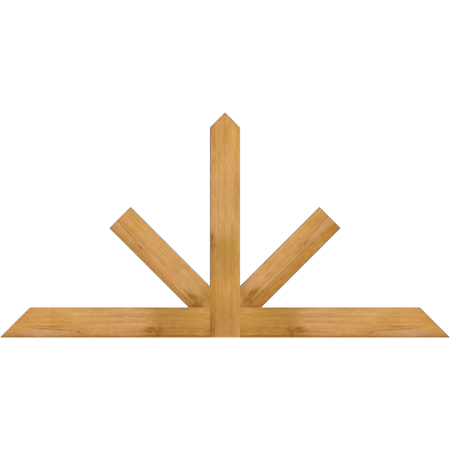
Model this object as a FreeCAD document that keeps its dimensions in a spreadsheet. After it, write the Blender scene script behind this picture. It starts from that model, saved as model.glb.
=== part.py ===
"""A decorative gable truss of planed timber, in millimetres.

A king post stands between the two halves of a bottom chord. A strut leans out from each corner between post
and chord, square to the roof line above it. Every outer end is cut along the roof line that it meets. Dowels
glued inside the joints hold the timbers together, so no fastener shows on the outside.

+X runs along the chord, +Y goes to the back and +Z goes up. The origin is the middle of the underside.
"""

import FreeCAD
import Part
import Sketcher
import os

# Driving dimensions.
DIMENSIONS = {
    "span": 1524.0,  # over the two tips of the bottom chord
    "rise": 762.0,  # from the underside of the chord to the peak of the post
    "timber_depth": 101.6,  # front to back, the same for every timber, so that all faces are flush
    "post_width": 101.6,
    "chord_height": 101.6,
    "strut_width": 101.6,
    "arris_radius": 3.0,  # easing of the front and back edges
    "chord_dowel_diameter": 19.0,
    "chord_dowel_seat": 70.0,  # length of dowel in each chord half
    "chord_dowel_edge": 20.0,  # from the dowel's axis to the chord's nearest faces
    "strut_dowel_diameter": 16.0,
    "strut_dowel_seat": 30.0,  # length of dowel in the strut, and as much in the timber below its foot
    "strut_dowel_edge": 20.0,  # from the dowel's axis to the strut's nearest side
    "dowel_chamfer": 2.0,
    "glue_gap": 0.15,  # between a dowel and the wall of its bore
    "bore_end_gap": 2.0,  # between a dowel's end and the bottom of its bore
}

# Lengths and angles that follow from the driving dimensions, as expressions.
ROOF_ANGLE = "atan(2 * dims.rise / dims.span)"
HALF_SPAN = "dims.span / 2"
HALF_POST = "dims.post_width / 2"
HALF_STRUT = "dims.strut_width / 2"
POST_SEAT = f"{HALF_STRUT} / sin({ROOF_ANGLE})"  # length of post that a strut's foot covers
CHORD_SEAT = f"{HALF_STRUT} / cos({ROOF_ANGLE})"  # length of chord that it covers
STRUT_LENGTH = f"(dims.rise - dims.chord_height) * cos({ROOF_ANGLE}) - {HALF_POST} * sin({ROOF_ANGLE})"
CHORD_DOWEL_LENGTH = "dims.post_width + 2 * dims.chord_dowel_seat"
STRUT_DOWEL_LENGTH = "2 * dims.strut_dowel_seat"

# The left timbers are the right ones turned half round about the Z axis.
SIDES = {"right": 0, "left": 180}

# What becomes of the side of an outline that starts at a corner.
EASED = "eased"
SEAT = "seat"

TOUCH = 1e-4  # two points closer than this are the same point


def add_dimensions(doc):
    """The sheet that holds the driving dimensions, one alias each."""
    sheet = doc.addObject("Spreadsheet::Sheet", "dims")
    for row, (name, value) in enumerate(DIMENSIONS.items(), start=1):
        sheet.set(f"A{row}", name)
        sheet.set(f"B{row}", str(value))
        sheet.setAlias(f"B{row}", name)
    doc.recompute()


def placement(x="0", y="0", z="0", turn="0", lean="0"):
    """Expression for a place, turned about Z after it has leant about Y."""
    base = f"create(<<vector>>; {x}; {y}; {z})"
    return f"create(<<placement>>; {base}; create(<<rotation>>; {turn}; {lean}; 0))"


def outline_sketch(body, name, corners):
    """A closed outline on the body's XZ plane, with each corner held by its two expressions."""
    sketch = body.newObject("Sketcher::SketchObject", name)
    plane = next(f for f in body.Origin.OriginFeatures if f.Role == "XZ_Plane")
    sketch.AttachmentSupport = [(plane, "")]
    sketch.MapMode = "FlatFace"
    points = [FreeCAD.Vector(*[float(sketch.evalExpression(v)) for v in corner], 0) for corner in corners]
    for start, end in zip(points, points[1:] + points[:1]):
        sketch.addGeometry(Part.LineSegment(start, end), False)
    for side in range(len(corners)):
        following = (side + 1) % len(corners)
        sketch.addConstraint(Sketcher.Constraint("Coincident", side, 2, following, 1))
    for side, corner in enumerate(corners):
        for kind, axis, expression in zip(("DistanceX", "DistanceY"), (-2, -1), corner):
            hold_corner(sketch, side, kind, axis, expression)
    return sketch


def hold_corner(sketch, side, kind, axis, expression):
    """Holds the start of a side on an axis, or at a distance from the origin along one."""
    if expression == "0":
        sketch.addConstraint(Sketcher.Constraint("PointOnObject", side, 1, axis))
        return
    distance = float(sketch.evalExpression(expression))
    index = sketch.addConstraint(Sketcher.Constraint(kind, -1, 1, side, 1, distance))
    name = f"corner_{side}_{kind[-1].lower()}"
    sketch.renameConstraint(index, name)
    sketch.setExpression(f"Constraints.{name}", expression)


def eased_edges(shape, sketch, finishes):
    """Names of the front and back edges that stand over the outline's eased sides."""
    front_y = shape.BoundBox.YMin
    middles = [
        (line.StartPoint + line.EndPoint) / 2
        for line, finish in zip(sketch.Geometry, finishes)
        if finish == EASED
    ]
    names = []
    for number, edge in enumerate(shape.Edges, start=1):
        centre = edge.CenterOfMass
        on_side = any(abs(centre.x - m.x) < TOUCH and abs(centre.z - m.y) < TOUCH for m in middles)
        if on_side and all(abs(abs(v.Y) - abs(front_y)) < TOUCH for v in edge.Vertexes):
            names.append(f"Edge{number}")
    return names


def add_pad(doc, body, name, corners):
    """An outline and its pad, as deep as the timbers are."""
    sketch = outline_sketch(body, f"{name}_outline", corners)
    pad = body.newObject("PartDesign::Pad", f"{name}_pad")
    pad.Profile = sketch
    pad.SideType = "Symmetric"
    pad.setExpression("Length", "dims.timber_depth")
    sketch.Visibility = False
    doc.recompute()
    return sketch, pad


def add_blank(doc, name, outline, place):
    """A timber before it is drilled: its outline, padded to the timber's depth, with eased edges."""
    body = doc.addObject("PartDesign::Body", f"{name}_blank")
    corners = [corner[:2] for corner in outline]
    finishes = [corner[2] for corner in outline]
    sketch, pad = add_pad(doc, body, name, corners)
    easing = body.newObject("PartDesign::Fillet", f"{name}_easing")
    easing.Base = (pad, eased_edges(pad.Shape, sketch, finishes))
    easing.setExpression("Radius", "dims.arris_radius")
    body.setExpression("Placement", place)
    doc.recompute()
    return body


def stop_easing(doc, body, name, left, right, bottom, top):
    """Fills a stretch of a blank out to its full section, so that its edges are sharp where others meet it."""
    corners = [(left, bottom), (right, bottom), (right, top), (left, top)]
    add_pad(doc, body, f"{name}_joint", corners)


def add_king_post(doc):
    """The post, square at the foot and cut to a peak along both roof lines."""
    shoulder = f"dims.rise - {HALF_POST} * tan({ROOF_ANGLE})"
    outline = [
        (f"-{HALF_POST}", "0", SEAT),
        (HALF_POST, "0", EASED),
        (HALF_POST, shoulder, EASED),
        ("0", "dims.rise", EASED),
        (f"-{HALF_POST}", shoulder, EASED),
    ]
    post = add_blank(doc, "king_post", outline, placement())
    stop_easing(doc, post, "king_post", f"-{HALF_POST}", HALF_POST, "0", f"dims.chord_height + {POST_SEAT}")
    return post


def add_chord(doc, side, turn):
    """Half of the bottom chord, square against the post and cut along the roof line at its tip."""
    top_length = f"{HALF_SPAN} - dims.chord_height / tan({ROOF_ANGLE})"
    outline = [
        (HALF_POST, "0", EASED),
        (HALF_SPAN, "0", EASED),
        (top_length, "dims.chord_height", EASED),
        (HALF_POST, "dims.chord_height", SEAT),
    ]
    name = f"{side}_chord"
    chord = add_blank(doc, name, outline, placement(turn=turn))
    seat_end = f"{HALF_POST} + {CHORD_SEAT}"
    stop_easing(doc, chord, name, HALF_POST, seat_end, "dims.chord_height / 2", "dims.chord_height")
    return chord


def add_strut(doc, side, turn):
    """A strut in its own frame: the tip of its foot at the origin, its length along +Z, the chord to +X."""
    outline = [
        ("0", "0", SEAT),
        (HALF_STRUT, f"{HALF_STRUT} * tan({ROOF_ANGLE})", EASED),
        (HALF_STRUT, STRUT_LENGTH, EASED),
        (f"-{HALF_STRUT}", STRUT_LENGTH, EASED),
        (f"-{HALF_STRUT}", f"{HALF_STRUT} / tan({ROOF_ANGLE})", SEAT),
    ]
    corner_x = HALF_POST if turn == 0 else f"-{HALF_POST}"
    place = placement(x=corner_x, z="dims.chord_height", turn=turn, lean=ROOF_ANGLE)
    return add_blank(doc, f"{side}_strut", outline, place)


def add_dowel(doc, name, diameter, length, place):
    """A dowel with chamfered ends, turned about its own Z axis."""
    radius = f"{diameter} / 2"
    end_radius = f"{radius} - dims.dowel_chamfer"
    body = doc.addObject("PartDesign::Body", name)
    corners = [
        ("0", "0"),
        (end_radius, "0"),
        (radius, "dims.dowel_chamfer"),
        (radius, f"{length} - dims.dowel_chamfer"),
        (end_radius, length),
        ("0", length),
    ]
    sketch = outline_sketch(body, f"{name}_outline", corners)
    turning = body.newObject("PartDesign::Revolution", f"{name}_turning")
    turning.Profile = sketch
    turning.ReferenceAxis = (sketch, ["V_Axis"])
    turning.Angle = 360
    sketch.Visibility = False
    body.setExpression("Placement", place)
    return body


def add_bore(doc, name, diameter, length, dowel):
    """The round hole that a dowel is glued into, longer and wider than the dowel by the two gaps."""
    bore = doc.addObject("Part::Cylinder", name)
    bore.setExpression("Radius", f"{diameter} / 2 + dims.glue_gap")
    bore.setExpression("Height", f"{length} + 2 * dims.bore_end_gap")
    bore.setExpression("Placement", f"{dowel.Name}.Placement * {placement(z='-dims.bore_end_gap')}")
    return bore


def add_chord_dowels(doc):
    """Four dowels that run through the post into both chord halves, with their bores."""
    diameter = "dims.chord_dowel_diameter"
    depth = "dims.timber_depth / 2 - dims.chord_dowel_edge"
    rows = {"lower": "dims.chord_dowel_edge", "upper": "dims.chord_height - dims.chord_dowel_edge"}
    columns = {"front": f"-({depth})", "back": depth}
    dowels = []
    bores = []
    for row, height in rows.items():
        for column, offset in columns.items():
            name = f"{row}_{column}_chord_dowel"
            place = placement(x=f"-({CHORD_DOWEL_LENGTH}) / 2", y=offset, z=height, lean="90")
            dowel = add_dowel(doc, name, diameter, CHORD_DOWEL_LENGTH, place)
            dowels.append(dowel)
            bores.append(add_bore(doc, f"{name}_bore", diameter, CHORD_DOWEL_LENGTH, dowel))
    return dowels, bores


def add_strut_dowels(doc, strut):
    """Two dowels along a strut, one from its foot into the chord and one into the post, with their bores."""
    diameter = "dims.strut_dowel_diameter"
    offset = f"{HALF_STRUT} - dims.strut_dowel_edge"
    foot = {
        "chord": (offset, f"({offset}) * tan({ROOF_ANGLE})"),
        "post": (f"-({offset})", f"({offset}) / tan({ROOF_ANGLE})"),
    }
    dowels = []
    bores = []
    for timber, (across, seat) in foot.items():
        name = f"{strut.Name}_to_{timber}_dowel"
        place = f"{strut.Name}.Placement * {placement(x=across, z=f'{seat} - dims.strut_dowel_seat')}"
        dowel = add_dowel(doc, name, diameter, STRUT_DOWEL_LENGTH, place)
        dowels.append(dowel)
        bores.append(add_bore(doc, f"{name}_bore", diameter, STRUT_DOWEL_LENGTH, dowel))
    return dowels, bores


def add_group(doc, label, members):
    """Several objects kept together under one label."""
    group = doc.addObject("Part::Compound", label)
    group.Links = members
    group.Label = label
    return group


def add_drilled(doc, label, blank, bores):
    """The finished timber: its blank less every bore that reaches it."""
    timber = doc.addObject("Part::Cut", label)
    timber.Base = blank
    timber.Tool = bores
    timber.Label = label
    return timber


def add_truss(doc):
    """All sub-parts of the truss, each under the label that names its file."""
    blanks = {"king_post": add_king_post(doc)}
    chord_dowels, bores = add_chord_dowels(doc)
    strut_dowels = []
    for side, turn in SIDES.items():
        blanks[f"{side}_chord"] = add_chord(doc, side, turn)
        strut = add_strut(doc, side, turn)
        blanks[f"{side}_strut"] = strut
        dowels, dowel_bores = add_strut_dowels(doc, strut)
        strut_dowels += dowels
        bores += dowel_bores
    all_bores = add_group(doc, "dowel_bores", bores)
    timbers = [add_drilled(doc, label, blank, all_bores) for label, blank in blanks.items()]
    return [
        *timbers,
        add_group(doc, "chord_dowels", chord_dowels),
        add_group(doc, "strut_dowels", strut_dowels),
    ]


def check(doc, subparts):
    """Stops if an object failed to recompute or a sub-part has no sound shape."""
    failed = [o.Label for o in doc.Objects if {"Invalid", "Error"} & set(o.State)]
    if failed:
        raise RuntimeError(f"these objects failed to recompute: {failed}")
    for subpart in subparts:
        shape = subpart.Shape
        if shape.isNull() or not shape.isValid() or not shape.Solids:
            raise RuntimeError(f"{subpart.Label} has no valid solid")


def export(subparts):
    """Writes each sub-part to parts/LABEL.step and prints its size."""
    os.makedirs("parts", exist_ok=True)
    for subpart in subparts:
        shape = subpart.Shape
        shape.exportStep(f"parts/{subpart.Label}.step")
        box = shape.optimalBoundingBox(False, False)
        size = f"{box.XLength:.1f} x {box.YLength:.1f} x {box.ZLength:.1f} mm"
        print(f"{subpart.Label}: {len(shape.Solids)} solid(s), {size}, {shape.Volume / 1e6:.3f} litres")


def main():
    doc = FreeCAD.newDocument("gable_truss")
    add_dimensions(doc)
    subparts = add_truss(doc)
    doc.recompute()
    check(doc, subparts)
    export(subparts)


main()
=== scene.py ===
"""Looks of a decorative gable truss of planed timber, honey coloured, in soft studio light.

The truss stands as its solids have it, in metres: +X along the chord, +Y to the back, +Z up, and the
origin in the middle of the underside. Every timber is cut from the same kind of board, each from its own
stretch of it, so one pattern of grain, knot and streaks serves all of them.
"""

import math
from typing import NamedTuple

import bpy
from mathutils import Color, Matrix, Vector


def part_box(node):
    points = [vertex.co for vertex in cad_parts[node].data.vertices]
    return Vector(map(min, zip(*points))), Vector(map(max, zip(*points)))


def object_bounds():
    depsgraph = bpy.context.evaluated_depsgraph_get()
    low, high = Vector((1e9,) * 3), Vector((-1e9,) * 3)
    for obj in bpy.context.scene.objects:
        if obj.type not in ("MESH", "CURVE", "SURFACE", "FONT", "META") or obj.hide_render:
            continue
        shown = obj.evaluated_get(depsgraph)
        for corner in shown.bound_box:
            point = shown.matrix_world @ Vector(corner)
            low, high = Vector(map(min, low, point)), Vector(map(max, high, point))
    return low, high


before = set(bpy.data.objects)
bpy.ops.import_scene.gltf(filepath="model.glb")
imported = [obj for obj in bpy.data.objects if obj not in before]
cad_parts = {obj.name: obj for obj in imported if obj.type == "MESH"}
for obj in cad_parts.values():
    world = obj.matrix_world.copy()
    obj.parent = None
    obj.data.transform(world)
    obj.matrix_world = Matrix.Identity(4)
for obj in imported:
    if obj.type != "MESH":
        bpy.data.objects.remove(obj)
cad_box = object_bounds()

MM = 0.001

# Sizes of the truss, read from its solids.
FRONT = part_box("king_post")[0].y
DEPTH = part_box("king_post")[1].y - FRONT
HALF_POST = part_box("king_post")[1].x
CHORD_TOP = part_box("right_chord")[1].z
SPAN = cad_box[1].x - cad_box[0].x
RISE = cad_box[1].z - cad_box[0].z

# Directions.
RIGHT = Vector((1, 0, 0))
BACK = Vector((0, 1, 0))
UP = Vector((0, 0, 1))
RIGHT_RISING = (RIGHT + UP).normalized()
LEFT_RISING = (UP - RIGHT).normalized()


def tone(red, green, blue):
    """A screen colour, 0 to 255 a channel, as the linear colour that a shader takes."""
    screen = Color([value / 255 for value in (red, green, blue)])
    return (*screen.from_srgb_to_scene_linear(), 1.0)


def grey(value):
    """A linear grey, 0 to 1."""
    return (value, value, value, 1.0)


def in_mm(*lengths):
    """Lengths in millimetres as metres."""
    return tuple(length * MM for length in lengths)


# A mix node has sockets of one name for several kinds of data. These are the numbers of its sockets for
# colours.
MIX_FACTOR = 0
MIX_FIRST = 6
MIX_SECOND = 7
MIX_RESULT = 2


class Nodes:
    """The node tree of a material or a world, with a short method for each kind of node that it takes."""

    def __init__(self, owner):
        owner.use_nodes = True
        self.tree = owner.node_tree
        self.tree.nodes.clear()

    def node(self, kind, values, **settings):
        """A new node, with a value or another node's output for each input that is named or numbered."""
        node = self.tree.nodes.new(kind)
        for name, setting in settings.items():
            setattr(node, name, setting)
        for socket, value in values.items():
            self.feed(node.inputs[socket], value)
        return node

    def feed(self, socket, value):
        if isinstance(value, bpy.types.NodeSocket):
            self.tree.links.new(value, socket)
        else:
            socket.default_value = value

    def math(self, operation, *values):
        return self.node("ShaderNodeMath", dict(enumerate(values)), operation=operation).outputs[0]

    def vector(self, operation, *values):
        node = self.node("ShaderNodeVectorMath", dict(enumerate(values)), operation=operation)
        return node.outputs["Value" if operation in ("DOT_PRODUCT", "LENGTH") else "Vector"]

    def split(self, vector):
        return self.node("ShaderNodeSeparateXYZ", {0: vector}).outputs

    def joined(self, *parts):
        return self.node("ShaderNodeCombineXYZ", dict(enumerate(parts))).outputs[0]

    def along_axes(self, vector, *axes):
        """How far the vector goes along each of three axes."""
        return self.joined(*[self.vector("DOT_PRODUCT", vector, axis) for axis in axes])

    def place(self):
        """A point's place in the frame of the truss."""
        return self.node("ShaderNodeTexCoord", {}).outputs["Object"]

    def fade(self, value, start, end, low=0.0, high=1.0):
        """Goes smoothly from low to high as the value goes from start to end."""
        values = {"Value": value, "From Min": start, "From Max": end, "To Min": low, "To Max": high}
        return self.node("ShaderNodeMapRange", values, interpolation_type="SMOOTHSTEP").outputs[0]

    def noise(self, place, waves, octaves):
        """Noise about NOISE_MEAN, with so many waves a metre along, across and into the wood."""
        stretched = self.vector("MULTIPLY", place, waves)
        values = {"Vector": stretched, "Scale": 1.0, "Detail": octaves}
        return self.node("ShaderNodeTexNoise", values).outputs

    def mix(self, factor, first, second):
        values = {MIX_FACTOR: factor, MIX_FIRST: first, MIX_SECOND: second}
        return self.node("ShaderNodeMix", values, data_type="RGBA").outputs[MIX_RESULT]

    def ramp(self, value, stops):
        """Colours at stops from 0 to 1, blended in between."""
        node = self.node("ShaderNodeValToRGB", {0: value})
        elements = node.color_ramp.elements
        while len(elements) < len(stops):
            elements.new(1.0)
        for element, (position, colour) in zip(elements, stops):
            element.position = position
            element.color = colour
        return node.outputs[0]

    def relief(self, height, distance):
        """The surface's direction with a fine relief, which rises that far where the height is 1."""
        values = {"Height": height, "Strength": 1.0, "Distance": distance}
        return self.node("ShaderNodeBump", values).outputs[0]

    def seen(self):
        """1 where the camera looks, in a mirror or through glass too, and 0 for light alone."""
        path = self.node("ShaderNodeLightPath", {}).outputs
        seen = self.math("MAXIMUM", path["Is Camera Ray"], path["Is Glossy Ray"])
        return self.math("MAXIMUM", seen, path["Is Transmission Ray"])

    def surface(self, **inputs):
        """Ends a material's tree in a Principled shader with these inputs."""
        values = {name.replace("_", " "): value for name, value in inputs.items()}
        shader = self.node("ShaderNodeBsdfPrincipled", values).outputs[0]
        self.node("ShaderNodeOutputMaterial", {"Surface": shader})


# Colours of the timber.
OLIVE = tone(186, 138, 70)
GOLD = tone(201, 147, 74)
ROSE = tone(207, 159, 101)
CREAM = tone(212, 164, 104)
TAN = tone(203, 155, 89)
HONEY = tone(202, 149, 80)
PINK = tone(208, 150, 99)
BUFF = tone(199, 153, 108)
STRAW = tone(212, 161, 86)
FAWN = tone(193, 147, 80)
MAUVE = tone(160, 112, 72)
AMBER = tone(180, 126, 55)
UMBER = tone(166, 115, 40)
RUSSET = tone(150, 92, 42)
BROWN = tone(134, 82, 16)
# Painted shade, for the corner where the top of the right strut meets the post.
CORNER_SHADE = tone(60, 46, 32)


class Board(NamedTuple):
    """How a timber lies in its board: the knot's place, the way of the grain and the way across it."""

    knot: Vector
    along: Vector
    across: Vector
    stretch: float  # where along the board its fine grain starts
    # The strength of the painted shade on this timber's eased edges.
    edge_shade_strength: float  # how much darker its eased edges are
    own_marks: tuple = ()  # marks that only this timber has


class Region(NamedTuple):
    """A part of the wood with a soft border. Lengths are along, across and inwards from the face."""

    middle: tuple
    reach: tuple
    turn: float = 0.0  # degrees from the grain, towards the way across


class Mark(NamedTuple):
    """A region of another colour."""

    middle: tuple
    reach: tuple
    colour: tuple
    strength: float
    turn: float = 0.0  # degrees from the grain, towards the way across
    flecks: float = 0.3  # how far it is broken up into flecks, from 0 to 1


class Warp(NamedTuple):
    """Waves that move everything in the wood, by up to about half of their reach."""

    waves: tuple  # a metre: along, across and inwards
    octaves: float
    reach: tuple


class Grain(NamedTuple):
    """A layer of noise in the wood."""

    waves: tuple  # a metre: along, across and inwards
    octaves: float
    spread: float  # how far from its mean it goes from dark to light: small is crisp
    share: float = 0.0  # in how light and dark the wood is


def grain_space(nodes, board):
    """A point's place in the wood: along the grain from the knot, across it, and in from the front."""
    offset = nodes.vector("SUBTRACT", nodes.place(), board.knot)
    return nodes.along_axes(offset, board.along, board.across, BACK)


# Added to a place near the back face, so that the marks there don't lie behind those at the front.
BACK_SHIFT = in_mm(-120, 30, 0)


def face_space(nodes, place):
    """The place as seen from the nearer of the two faces."""
    behind = nodes.math("GREATER_THAN", nodes.split(place)["Z"], DEPTH / 2)
    shifted = nodes.split(nodes.vector("MULTIPLY_ADD", behind, BACK_SHIFT, place))
    inwards = nodes.math("PINGPONG", shifted["Z"], DEPTH / 2)
    return nodes.joined(shifted["X"], shifted["Y"], inwards)


NOISE_MEAN = 0.5


def warped(nodes, place, warp):
    """The place, moved by a warp."""
    noise = nodes.noise(place, warp.waves, warp.octaves)["Color"]
    shift = nodes.vector("SUBTRACT", noise, (NOISE_MEAN, NOISE_MEAN, NOISE_MEAN))
    return nodes.vector("MULTIPLY_ADD", shift, warp.reach, place)


# How light a layer of grain is where it is darkest and lightest. Its mean is 0.
DARKEST = -0.5
LIGHTEST = 0.5


def layer(nodes, place, grain):
    """How light a layer of grain is."""
    noise = nodes.noise(place, grain.waves, grain.octaves)[0]
    return nodes.fade(noise, NOISE_MEAN - grain.spread, NOISE_MEAN + grain.spread, DARKEST, LIGHTEST)


def shaded(nodes, light, share, colour, pale, dark):
    """The colour, mixed with a pale one where a layer is light and with a dark one where it is dark."""
    colour = nodes.mix(nodes.fade(light, 0.0, LIGHTEST, 0.0, share), colour, pale)
    return nodes.mix(nodes.fade(light, 0.0, DARKEST, 0.0, share), colour, dark)


# Share of its reach up to which a region is at its full strength.
CORE = 0.25


def share_of_reach(nodes, place, region):
    """0 in the middle of a region, 1 at its reach."""
    offset = nodes.vector("SUBTRACT", place, region.middle)
    if region.turn:
        values = {"Vector": offset, "Axis": (0, 0, 1), "Angle": -math.radians(region.turn)}
        offset = nodes.node("ShaderNodeVectorRotate", values).outputs[0]
    return nodes.vector("LENGTH", nodes.vector("DIVIDE", offset, region.reach))


def patch(nodes, place, region):
    """1 in the middle of a region, 0 outside its reach."""
    return nodes.fade(share_of_reach(nodes, place, region), 1.0, CORE)


def covered(nodes, place, mark, strength, colour):
    """The colour with a mark of that strength on it."""
    factor = nodes.math("MULTIPLY", patch(nodes, place, mark), strength)
    return nodes.mix(factor, colour, mark.colour)


# How the colour changes along a board, by the distance from its knot. Soft waves carry it along the
# grain, and clouds of rose and olive lie over it.
BOARD_TONES = [
    (-350 * MM, FAWN),
    (-260 * MM, OLIVE),
    (-168 * MM, GOLD),
    (-90 * MM, OLIVE),
    (-25 * MM, OLIVE),
    (75 * MM, ROSE),
    (180 * MM, TAN),
    (260 * MM, TAN),
    (350 * MM, HONEY),
    (450 * MM, GOLD),
]
DRIFT = Warp((4, 26, 26), 3, in_mm(70, 0, 0))
CLOUDS = Grain((7, 34, 34), 2, 0.25)
CLOUD_SHARE = 0.6


def board_tone(nodes, place):
    """The board's colour along its length, with ragged borders and clouds."""
    along = nodes.split(warped(nodes, place, DRIFT))["X"]
    start = BOARD_TONES[0][0]
    length = BOARD_TONES[-1][0] - start
    share = nodes.math("DIVIDE", nodes.math("SUBTRACT", along, start), length)
    colour = nodes.ramp(share, [((distance - start) / length, shade) for distance, shade in BOARD_TONES])
    return shaded(nodes, layer(nodes, place, CLOUDS), CLOUD_SHARE, colour, ROSE, OLIVE)


# Across the board: flecked amber heartwood with a dark border on one side of the knot, and pale sapwood
# far on the other. Each pair of shares is for the heartwood where it has faded, further along, and where
# it is clear, by the knot.
HEART = 19 * MM
HEART_BORDER = 2.4 * MM
HEART_FADED = 330 * MM
HEART_CLEAR = 100 * MM
HEART_SHARES = (0.75, 0.9)
HEART_BORDER_SHARES = (0.3, 0.95)
HEART_FLECKS = Grain((40, 200, 200), 2, 0.1)
HEART_FLECK_SHARE = 0.5
SAP = -72 * MM
SAP_FULL = -98 * MM
SAP_SHARE = 0.42


def heart_and_sap(nodes, flow, ragged, colour):
    """The colour with heartwood, its border and sapwood."""
    along, across, _ = nodes.split(ragged)
    amber = shaded(nodes, layer(nodes, ragged, HEART_FLECKS), HEART_FLECK_SHARE, AMBER, GOLD, UMBER)
    heart = nodes.fade(across, HEART - HEART_BORDER, HEART + HEART_BORDER)
    share = nodes.fade(along, HEART_FADED, HEART_CLEAR, *HEART_SHARES)
    colour = nodes.mix(nodes.math("MULTIPLY", heart, share), colour, amber)
    colour = nodes.mix(nodes.fade(across, SAP, SAP_FULL, 0.0, SAP_SHARE), colour, STRAW)
    distance = nodes.math("ABSOLUTE", nodes.math("SUBTRACT", nodes.split(flow)["Y"], HEART))
    border = nodes.fade(distance, HEART_BORDER, 0.0)
    share = nodes.fade(along, HEART_FADED, HEART_CLEAR, *HEART_BORDER_SHARES)
    return nodes.mix(nodes.math("MULTIPLY", border, share), colour, BROWN)


# Marks that every board has under both of its faces, measured from the knot. The last four are streaks.
MARKS = [
    Mark(in_mm(-180, 6, 0), in_mm(220, 26, 40), AMBER, 0.45),
    Mark(in_mm(-180, 8, 0), in_mm(220, 22, 40), UMBER, 0.55, flecks=1.0),
    Mark(in_mm(85, 8, 0), in_mm(95, 24, 40), PINK, 0.55),
    Mark(in_mm(150, 8, 0), in_mm(150, 24, 40), PINK, 0.4),
    Mark(in_mm(245, 6, 0), in_mm(70, 24, 40), AMBER, 0.5),
    Mark(in_mm(255, -60, 0), in_mm(75, 28, 40), CREAM, 0.6),
    Mark(in_mm(160, -90, 0), in_mm(100, 22, 40), OLIVE, 0.7),
    Mark(in_mm(-30, -8, 0), in_mm(70, 66, 45), UMBER, 0.25),
    Mark(in_mm(-22, 4, 0), in_mm(16, 34, 45), BROWN, 0.7, flecks=0.4),
    Mark(in_mm(375, 10, 0), in_mm(150, 20, 40), BUFF, 0.9),
    Mark(in_mm(340, -72, 0), in_mm(110, 15, 40), STRAW, 0.65),
    Mark(in_mm(470, 18, 0), in_mm(90, 14, 40), MAUVE, 0.45),
    Mark(in_mm(360, 42, 0), in_mm(60, 22, 40), UMBER, 0.6),
    Mark(in_mm(5, 40, 0), in_mm(45, 22, 40), UMBER, 0.5),
    Mark(in_mm(315, -2, 0), in_mm(90, 2.4, 15), RUSSET, 0.8, turn=-3.9, flecks=0.4),
    Mark(in_mm(390, -7, 0), in_mm(64, 2.4, 15), RUSSET, 0.9, turn=-3.9, flecks=0.4),
    Mark(in_mm(360, -14.5, 0), in_mm(90, 2.2, 15), RUSSET, 0.7, turn=-1.4, flecks=0.4),
    Mark(in_mm(252, 6, 0), in_mm(16, 5, 15), RUSSET, 0.6, turn=-24.0),
]
FLECKS = Grain((36, 220, 220), 2, 0.1)


def marked(nodes, place, marks, colour):
    """The colour with marks on it, broken up into flecks."""
    flecks = layer(nodes, place, FLECKS)
    for mark in marks:
        weakest = mark.strength * (1.0 - mark.flecks)
        strength = nodes.fade(flecks, DARKEST, LIGHTEST, weakest, mark.strength)
        colour = covered(nodes, place, mark, strength, colour)
    return colour


# The knot is a dark ring round a paler middle, in a wider shade. Its strength rises and falls in so many
# waves from the middle to the reach.
KNOT = Mark(in_mm(10, -1, 0), in_mm(22, 14, 45), BROWN, 0.5)
KNOT_WAVES = 1.0
KNOT_WAVE_HEIGHT = 0.25
KNOT_SHADE = Mark(in_mm(6, 0, 0), in_mm(52, 24, 45), UMBER, 0.5)


def knotted(nodes, place, colour):
    """The colour with the knot on it."""
    colour = covered(nodes, place, KNOT_SHADE, KNOT_SHADE.strength, colour)
    turn = nodes.math("MULTIPLY", share_of_reach(nodes, place, KNOT), 2 * math.pi * KNOT_WAVES)
    strength = nodes.math("MULTIPLY_ADD", nodes.math("COSINE", turn), -KNOT_WAVE_HEIGHT, KNOT.strength)
    return covered(nodes, place, KNOT, strength, colour)


class Stripes(NamedTuple):
    """Stripes of light and dark along the growth rings."""

    width: float
    profile: tuple  # how light it is, from 0 to 1, at shares of the width
    mean: float  # of the profile
    share: float  # in how light and dark the wood is


# The pith of the tree lies outside the timbers, so the growth rings cross the front faces nearly square.
# Each broad band of rings begins with a pale line and ends in a dark one. The grain bulges round the
# knot, and the bands are clearer beside it and on the ends.
PITH = in_mm(0, -298, 130)
BANDS = Stripes(19 * MM, ((0.0, 0.6), (0.07, 1.0), (0.2, 0.55), (0.75, 0.4), (0.92, 0.0)), 0.45, 0.08)
RINGS = Stripes(6.4 * MM, ((0.0, 0.7), (0.7, 0.6), (0.9, 0.0), (1.0, 0.7)), 0.55, 0.06)
RING_WOBBLE = Grain((3, 16, 16), 2, 0.5)
RING_WOBBLE_REACH = 0.2
BULGE = Region(in_mm(8, 0, 0), in_mm(70, 30, 50))
BULGE_HEIGHT = 22 * MM
CLEAR_BANDS = Region(in_mm(100, -35, 0), in_mm(200, 75, 90))
CLEAR_BAND_SHARE = 0.07
END_BAND_SHARE = 0.35


def growth(nodes, place, near_face):
    """Radius of the growth ring that a point is in. The pith runs along the grain."""
    offset = nodes.vector("MULTIPLY", nodes.vector("SUBTRACT", place, PITH), (0, 1, 1))
    bulge = patch(nodes, near_face, BULGE)
    return nodes.math("MULTIPLY_ADD", bulge, BULGE_HEIGHT, nodes.vector("LENGTH", offset))


def striped(nodes, radius, wobble, stripes):
    """How much lighter or darker than their mean the stripes are."""
    turns = nodes.math("DIVIDE", radius, stripes.width)
    turns = nodes.math("MULTIPLY_ADD", wobble, RING_WOBBLE_REACH, turns)
    stops = [(share, grey(light)) for share, light in stripes.profile]
    return nodes.math("SUBTRACT", nodes.ramp(nodes.math("FRACT", turns), stops), stripes.mean)


# The fine grain, from long lines to single fibres, and how much each channel takes part in it. Blotches
# of hue go with it, in red and blue.
FINE_GRAIN = [
    Grain((1.2, 100, 100), 2, 0.1, 0.05),
    Grain((2.5, 180, 180), 2, 0.15, 0.09),
    Grain((7, 420, 420), 2, 0.2, 0.2),
    Grain((40, 260, 260), 2, 0.2, 0.14),
]
FIBRES = Grain((40, 480, 480), 3, 0.25, 0.25)
GRAIN_TINT = (0.5, 1.0, 2.0)
HUES = Grain((14, 30, 30), 3, 0.25)
HUE_TINT = (0.06, 0.0, 0.28)

# Sines of the angle between the surface and the grain: up to the first it is long grain, and from the
# second it is cross grain. Ends are darker and redder.
LONG_GRAIN = 0.05
CROSS_GRAIN = 0.3
END_TINT = (-0.18, -0.23, -0.3)


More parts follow.
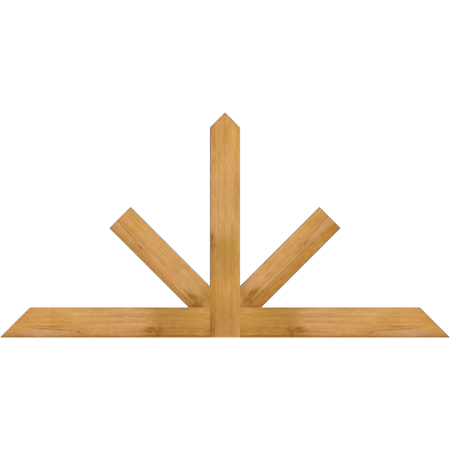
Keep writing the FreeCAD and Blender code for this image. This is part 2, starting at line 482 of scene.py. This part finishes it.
def grain_light(nodes, place, radius, near_face, end, fibres):
    """How much lighter or darker than its mean the wood is."""
    wobble = layer(nodes, place, RING_WOBBLE)
    clear = patch(nodes, near_face, CLEAR_BANDS)
    share = nodes.math("MULTIPLY_ADD", clear, CLEAR_BAND_SHARE, BANDS.share)
    share = nodes.math("MULTIPLY_ADD", nodes.fade(end, LONG_GRAIN, 1.0), END_BAND_SHARE, share)
    light = nodes.math("MULTIPLY", striped(nodes, radius, wobble, BANDS), share)
    light = nodes.math("MULTIPLY_ADD", striped(nodes, radius, wobble, RINGS), RINGS.share, light)
    light = nodes.math("MULTIPLY_ADD", fibres, FIBRES.share, light)
    for grain in FINE_GRAIN:
        light = nodes.math("MULTIPLY_ADD", layer(nodes, place, grain), grain.share, light)
    return light


# Painted shade on the eased edges: their colour is made darker and browner on the inner half of their
# round, which draws a dark line along every outline. The first four values are cosines of the angle by
# which the surface has turned from the face. The painted shade is weaker on sapwood, at a timber's ends
# and at the back.
EDGE_BEGINS = 0.9998
EDGE_FULL = 0.98
EDGE_FADES = 0.75
EDGE_ENDS = 0.25
EDGE_ON_SAP = 0.2
EDGE_AT_END = 0.65
EDGE_AT_BACK = 0.35
EDGE_SHADE_TINT = (0.95, 1.1, 1.25)


def edges(nodes, place, normal, end):
    """Where edges get painted shade and more roughness: 1 on a timber's eased edges, 0 on its faces and
    sides.
    """
    facing = nodes.math("ABSOLUTE", nodes.vector("DOT_PRODUCT", normal, BACK))
    _, across, inwards = nodes.split(place)
    edge = nodes.fade(facing, EDGE_BEGINS, EDGE_FULL)
    edge = nodes.math("MULTIPLY", edge, nodes.fade(facing, EDGE_ENDS, EDGE_FADES))
    edge = nodes.math("MULTIPLY", edge, nodes.fade(across, SAP_FULL, SAP, EDGE_ON_SAP, 1.0))
    edge = nodes.math("MULTIPLY", edge, nodes.fade(end, LONG_GRAIN, CROSS_GRAIN, 1.0, EDGE_AT_END))
    return nodes.math("MULTIPLY", edge, nodes.fade(inwards, 0.0, DEPTH, 1.0, EDGE_AT_BACK))


# Slow bends of the whole grain, and ragged borders of what lies in it.
FLOW = Warp((2.5, 9, 9), 2, in_mm(40, 4, 4))
RAGGED = Warp((14, 110, 110), 2, in_mm(50, 3, 3))

NO_TINT = (1.0, 1.0, 1.0)
ROUGHNESS = 0.55
ROUGH_FIBRES = -0.25
ROUGH_EDGES = 0.3
TIMBER_SPECULAR = 0.04
FIBRE_RELIEF = 0.1 * MM


def timber_material(name, board):
    """Planed, oiled softwood: rings, fibres, clouds of colour, a knot, streaks, dark ends and painted
    edge shade.
    """
    material = bpy.data.materials.new(name)
    nodes = Nodes(material)
    place = grain_space(nodes, board)
    flow = warped(nodes, place, FLOW)
    ragged = warped(nodes, flow, RAGGED)
    near_face = face_space(nodes, ragged)
    colour = board_tone(nodes, flow)
    colour = heart_and_sap(nodes, flow, ragged, colour)
    colour = marked(nodes, near_face, MARKS, colour)
    colour = knotted(nodes, near_face, colour)
    colour = marked(nodes, ragged, board.own_marks, colour)

    normal = nodes.node("ShaderNodeNewGeometry", {}).outputs["Normal"]
    end = nodes.math("ABSOLUTE", nodes.vector("DOT_PRODUCT", normal, board.along))
    own = nodes.vector("ADD", place, (board.stretch, 0, 0))
    fibres = layer(nodes, own, FIBRES)
    light = grain_light(nodes, own, growth(nodes, flow, near_face), near_face, end, fibres)
    tint = nodes.vector("MULTIPLY_ADD", light, GRAIN_TINT, NO_TINT)
    tint = nodes.vector("MULTIPLY_ADD", layer(nodes, own, HUES), HUE_TINT, tint)
    # Painted shade: the eased edges are darkened in the colour itself.
    edge = edges(nodes, place, normal, end)
    darker = [-board.edge_shade_strength * share for share in EDGE_SHADE_TINT]
    shade = nodes.vector("MULTIPLY_ADD", edge, darker, NO_TINT)
    shade = nodes.vector("MULTIPLY_ADD", nodes.math("MULTIPLY", end, end), END_TINT, shade)
    colour = nodes.vector("MULTIPLY", nodes.vector("MULTIPLY", colour, tint), shade)

    roughness = nodes.math("MULTIPLY_ADD", fibres, ROUGH_FIBRES, ROUGHNESS)
    roughness = nodes.math("MULTIPLY_ADD", edge, ROUGH_EDGES, roughness)
    nodes.surface(
        Base_Color=colour,
        Roughness=roughness,
        Specular_IOR_Level=TIMBER_SPECULAR,
        Normal=nodes.relief(fibres, FIBRE_RELIEF),
    )
    return material


DOWEL_PALE = tone(214, 182, 138)
DOWEL_DARK = tone(190, 150, 102)
DOWEL_FIBRES = Grain((20, 500, 500), 3, 0.2)
DOWEL_RELIEF = 0.06 * MM


def dowel_material(name, along, across):
    """Pale hardwood with straight, fine pores. Both halves of the truss are mirror images in it."""
    material = bpy.data.materials.new(name)
    nodes = Nodes(material)
    folded = nodes.vector("ABSOLUTE", nodes.place())
    fibres = layer(nodes, nodes.along_axes(folded, along, across, BACK), DOWEL_FIBRES)
    nodes.surface(
        Base_Color=nodes.mix(nodes.fade(fibres, DARKEST, LIGHTEST), DOWEL_DARK, DOWEL_PALE),
        Roughness=nodes.math("MULTIPLY_ADD", fibres, ROUGH_FIBRES, ROUGHNESS),
        Normal=nodes.relief(fibres, DOWEL_RELIEF),
    )
    return material


# Where each timber's knot is: up the post from its foot, out along the chord from the post, and along the
# strut from the tip of its foot. The second number is the distance from the timber's middle: to the left
# on the post, and down on the chords and struts.
POST_KNOT = in_mm(335, 50)
CHORD_KNOT = in_mm(193, 26)
LEFT_STRUT_KNOT = in_mm(58, 17)
RIGHT_STRUT_KNOT = in_mm(58, -4)

# Marks that only one timber has: brown stains at the joints of the post's foot and of the struts' feet,
# shades of amber, brown and umber, and a line of painted shade in the corner where the top of the right
# strut meets the post. All but the painted shade line go through the timber's whole depth, which is less
# than this many millimetres.
THROUGH = 500
POST_MARKS = (
    Mark(in_mm(-320, -7, 0), in_mm(95, 20, THROUGH), BROWN, 0.6, flecks=0.6),
    Mark(in_mm(140, -6, 0), in_mm(150, 28, THROUGH), AMBER, 0.28),
    Mark(in_mm(355, -50, 0), in_mm(60, 22, THROUGH), AMBER, 0.25),
    Mark(in_mm(-290, 0, 0), in_mm(62, 5, THROUGH), BROWN, 0.5),
    Mark(in_mm(-14, -9, 0), in_mm(46, 13, THROUGH), BROWN, 0.35, flecks=0.6),
)
LEFT_STRUT_MARKS = (
    Mark(in_mm(-24, 17, 0), in_mm(46, 9, THROUGH), BROWN, 0.6, turn=45.0),
    Mark(in_mm(130, -16, 0), in_mm(130, 26, THROUGH), AMBER, 0.2),
)
RIGHT_STRUT_MARKS = (
    Mark(in_mm(-24, 38, 0), in_mm(46, 9, THROUGH), BROWN, 0.6, turn=45.0),
    Mark(in_mm(175, 2, 0), in_mm(120, 26, THROUGH), AMBER, 0.3),
    Mark(in_mm(365, 20, 0), in_mm(50, 70, THROUGH), UMBER, 0.22),
    # Painted shade: a dark line near the front, in the corner between the top of the strut and the post.
    Mark(in_mm(-2, -46, 0), in_mm(34, 4, 30), CORNER_SHADE, 0.9, flecks=0.0),
)

# What each timber's board has of its own, with the strength of the painted shade on its eased edges. The
# two chords are mirror images of each other.
POST_LOOKS = {"stretch": 0.0, "edge_shade_strength": 0.75, "own_marks": POST_MARKS}
CHORD_LOOKS = {"stretch": 3.0, "edge_shade_strength": 0.58}
LEFT_STRUT_LOOKS = {"stretch": 6.0, "edge_shade_strength": 0.5, "own_marks": LEFT_STRUT_MARKS}
RIGHT_STRUT_LOOKS = {"stretch": 11.0, "edge_shade_strength": 0.5, "own_marks": RIGHT_STRUT_MARKS}


def board_from(start, along, across, knot, looks):
    """The board of a timber that starts there, with its knot so far along and across."""
    return Board(start + along * knot[0] + across * knot[1], along, across, **looks)


def timber_boards():
    """Each timber's board, by the timber's node."""
    foot = Vector((0, FRONT, 0))
    chord_middle = foot + UP * CHORD_TOP / 2
    strut_foot = foot + UP * CHORD_TOP
    right = RIGHT * HALF_POST
    return {
        "king_post": board_from(foot, UP, -RIGHT, POST_KNOT, POST_LOOKS),
        "left_chord": board_from(chord_middle - right, -RIGHT, -UP, CHORD_KNOT, CHORD_LOOKS),
        "right_chord": board_from(chord_middle + right, RIGHT, -UP, CHORD_KNOT, CHORD_LOOKS),
        "left_strut": board_from(
            strut_foot - right, LEFT_RISING, -RIGHT_RISING, LEFT_STRUT_KNOT, LEFT_STRUT_LOOKS
        ),
        "right_strut": board_from(
            strut_foot + right, RIGHT_RISING, -LEFT_RISING, RIGHT_STRUT_KNOT, RIGHT_STRUT_LOOKS
        ),
    }


def dress():
    """Gives every solid its material."""
    boards = timber_boards()
    materials = {node: timber_material(f"{node}_timber", board) for node, board in boards.items()}
    materials["chord_dowels"] = dowel_material("chord_dowel_wood", RIGHT, UP)
    materials["strut_dowels"] = dowel_material("strut_dowel_wood", RIGHT_RISING, LEFT_RISING)
    for node, material in materials.items():
        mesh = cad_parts[node].data
        mesh.materials.clear()
        mesh.materials.append(material)


WHITE = grey(1.0)
BLACK = grey(0.0)
AMBIENT = 0.185


def add_world():
    """White where it is seen, and a dimmer even light on the truss."""
    world = bpy.data.worlds.new("studio")
    nodes = Nodes(world)
    strength = nodes.fade(nodes.seen(), 0.0, 1.0, AMBIENT, 1.0)
    light = nodes.node("ShaderNodeBackground", {"Color": WHITE, "Strength": strength}).outputs[0]
    nodes.node("ShaderNodeOutputWorld", {"Surface": light})
    bpy.context.scene.world = world


PAPER = tone(250, 250, 250)
PAPER_GLOW = 0.27
PAPER_ROUGHNESS = 0.9
FLOOR_REACH = 60.0
FLOOR_GAP = 0.2 * MM

# Distances from the truss between which the floor, where it is seen, goes over into the white background.
FLOOR_FADES = 0.9
FLOOR_ENDS = 4.2


def floor_paper():
    """Pale paper, paler where it is seen, and plain white where it is seen far from the truss."""
    material = bpy.data.materials.new("floor_paper")
    nodes = Nodes(material)
    far = nodes.fade(nodes.vector("LENGTH", nodes.place()), FLOOR_FADES, FLOOR_ENDS)
    seen = nodes.seen()
    nodes.surface(
        Base_Color=nodes.mix(nodes.math("MULTIPLY", seen, far), PAPER, BLACK),
        Roughness=PAPER_ROUGHNESS,
        Emission_Color=WHITE,
        Emission_Strength=nodes.math("MULTIPLY", seen, nodes.fade(far, 0.0, 1.0, PAPER_GLOW, 1.0)),
    )
    return material


def add_floor():
    """A pale floor just under the truss."""
    mesh = bpy.data.meshes.new("floor")
    sides = ((-1, -1), (1, -1), (1, 1), (-1, 1))
    corners = [(x * FLOOR_REACH, y * FLOOR_REACH, -FLOOR_GAP) for x, y in sides]
    mesh.from_pydata(corners, [], [(0, 1, 2, 3)])
    mesh.materials.append(floor_paper())
    floor = bpy.data.objects.new("floor", mesh)
    bpy.context.scene.collection.objects.link(floor)


class Lamp(NamedTuple):
    """A soft lamp aimed at the truss."""

    name: str
    place: Vector
    width: float
    height: float
    share: float  # how much of full light it gives a face turned to it


# Two low lamps in front light the faces evenly. One behind lights the back, and one above the tops.
LAMPS = [
    Lamp("key", Vector((2.4, -3.6, 0.32)), 1.2, 0.6, 0.43),
    Lamp("fill", Vector((-2.6, -3.6, 0.32)), 1.2, 0.6, 0.39),
    Lamp("rim", Vector((-1.6, 7.0, 3.0)), 3.0, 3.0, 0.5),
    Lamp("top", Vector((-0.3, 1.5, 4.0)), 2.4, 2.4, 0.28),
]


def add_lamp(lamp):
    """An area lamp, with the power that its share of full light takes at its distance."""
    offset = Vector((0, 0, RISE / 2)) - lamp.place
    light = bpy.data.lights.new(lamp.name, "AREA")
    light.shape = "RECTANGLE"
    light.size = lamp.width
    light.size_y = lamp.height
    light.energy = lamp.share * (math.pi * offset.length) ** 2
    holder = bpy.data.objects.new(lamp.name, light)
    holder.location = lamp.place
    holder.rotation_euler = offset.to_track_quat("-Z", "Y").to_euler()
    bpy.context.scene.collection.objects.link(holder)


CAMERA_DISTANCE = 4.0


def add_camera():
    """Looks straight at the front with no perspective. The span fills the width of a square picture."""
    data = bpy.data.cameras.new("front")
    data.type = "ORTHO"
    data.ortho_scale = SPAN
    camera = bpy.data.objects.new("front", data)
    camera.location = Vector((0, FRONT - CAMERA_DISTANCE, RISE / 2))
    camera.rotation_euler = (math.pi / 2, 0, 0)
    bpy.context.scene.collection.objects.link(camera)
    bpy.context.scene.camera = camera


dress()
add_world()
add_floor()
for lamp in LAMPS:
    add_lamp(lamp)
add_camera()
bpy.context.scene.view_settings.view_transform = "Standard"
